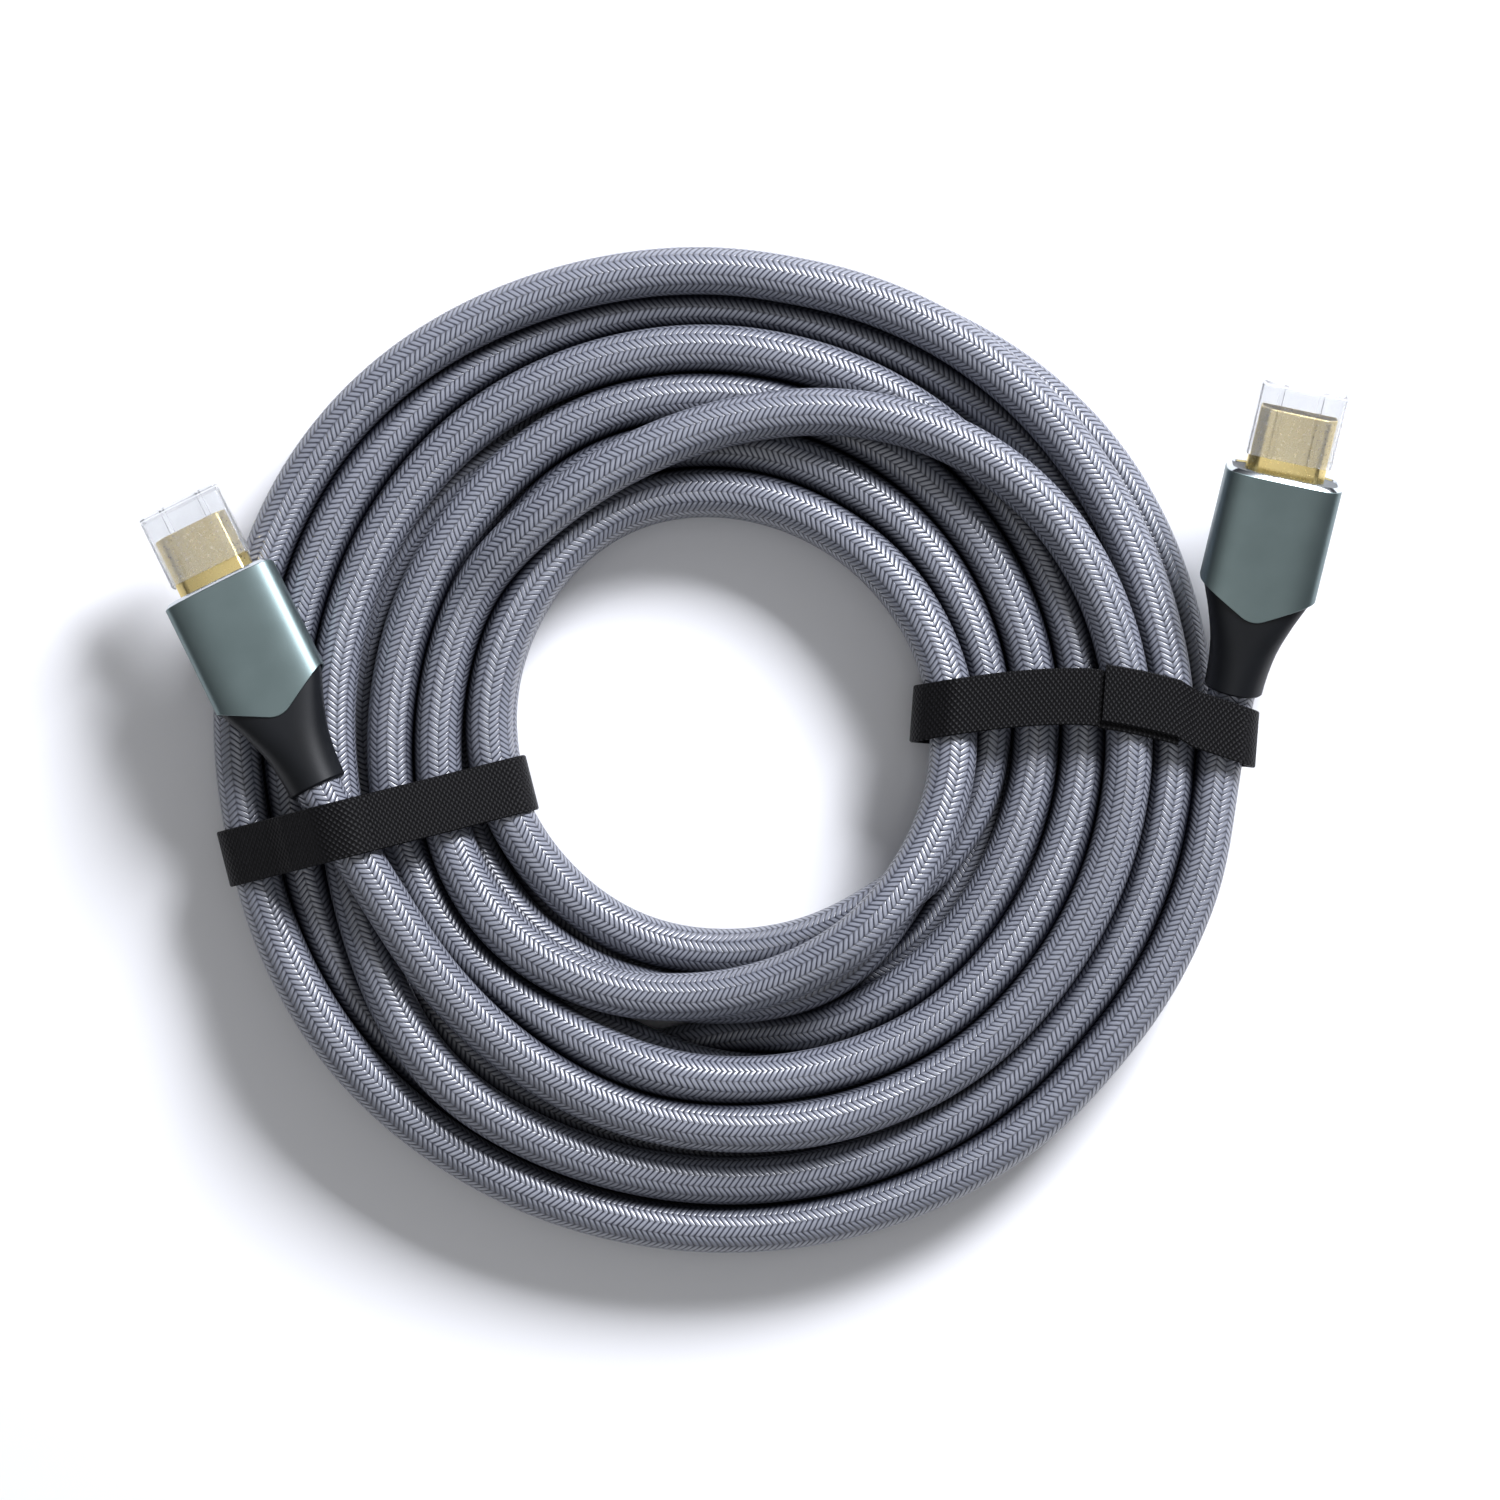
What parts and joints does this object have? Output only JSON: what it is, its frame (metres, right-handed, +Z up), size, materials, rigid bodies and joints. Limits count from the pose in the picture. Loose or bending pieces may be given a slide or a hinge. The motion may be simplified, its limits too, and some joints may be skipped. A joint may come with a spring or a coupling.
{
  "type": "coiled video cable",
  "caption": "Long braided audio and video cable, coiled flat and held by hook-and-loop ties, with a metal-shelled plug and a clear dust cap at each end.",
  "frame": {"origin": "on the floor under the middle of the whole coiled cable's bounding box", "axes": "+Z up out of the coil, +X towards the plug that stands outside the coil, +Y the way both plugs point"},
  "size_m": [0.2108, 0.1794, 0.0327],
  "materials": {
    "nylon_braid": "matte grey-blue braid",
    "hook_and_loop_tape": "matte black woven tape",
    "anodised_aluminium": "satin dark grey anodised, bright front edge",
    "soft_pvc_boot": "satin near-black moulding",
    "gilt_steel": "bright pale gold plating",
    "contact_insert_plastic": "black moulding",
    "clear_cap_plastic": "clear moulding"
  },
  "bodies": {
    "cable": {"cable_coil": "nylon_braid", "cable_top_turn": "nylon_braid", "cable_right_lead": "nylon_braid", "left_tie": "hook_and_loop_tape", "right_tie": "hook_and_loop_tape", "left_shell": "anodised_aluminium", "right_shell": "anodised_aluminium", "left_boot": "soft_pvc_boot", "right_boot": "soft_pvc_boot", "left_plug_tip": "gilt_steel", "right_plug_tip": "gilt_steel", "left_contact_insert": "contact_insert_plastic", "right_contact_insert": "contact_insert_plastic"},
    "left_cap": {"left_dust_cap": "clear_cap_plastic"},
    "right_cap": {"right_dust_cap": "clear_cap_plastic"}
  },
  "joints": [
    {"name": "left_cap_pull", "type": "slide", "parent": "cable", "child": "left_cap", "axis": [-0.444, 0.8945, -0.0523], "range_m": [0, 0.03]},
    {"name": "right_cap_pull", "type": "slide", "parent": "cable", "child": "right_cap", "axis": [0.1972, 0.9358, 0.2924], "range_m": [0, 0.03]}
  ]
}
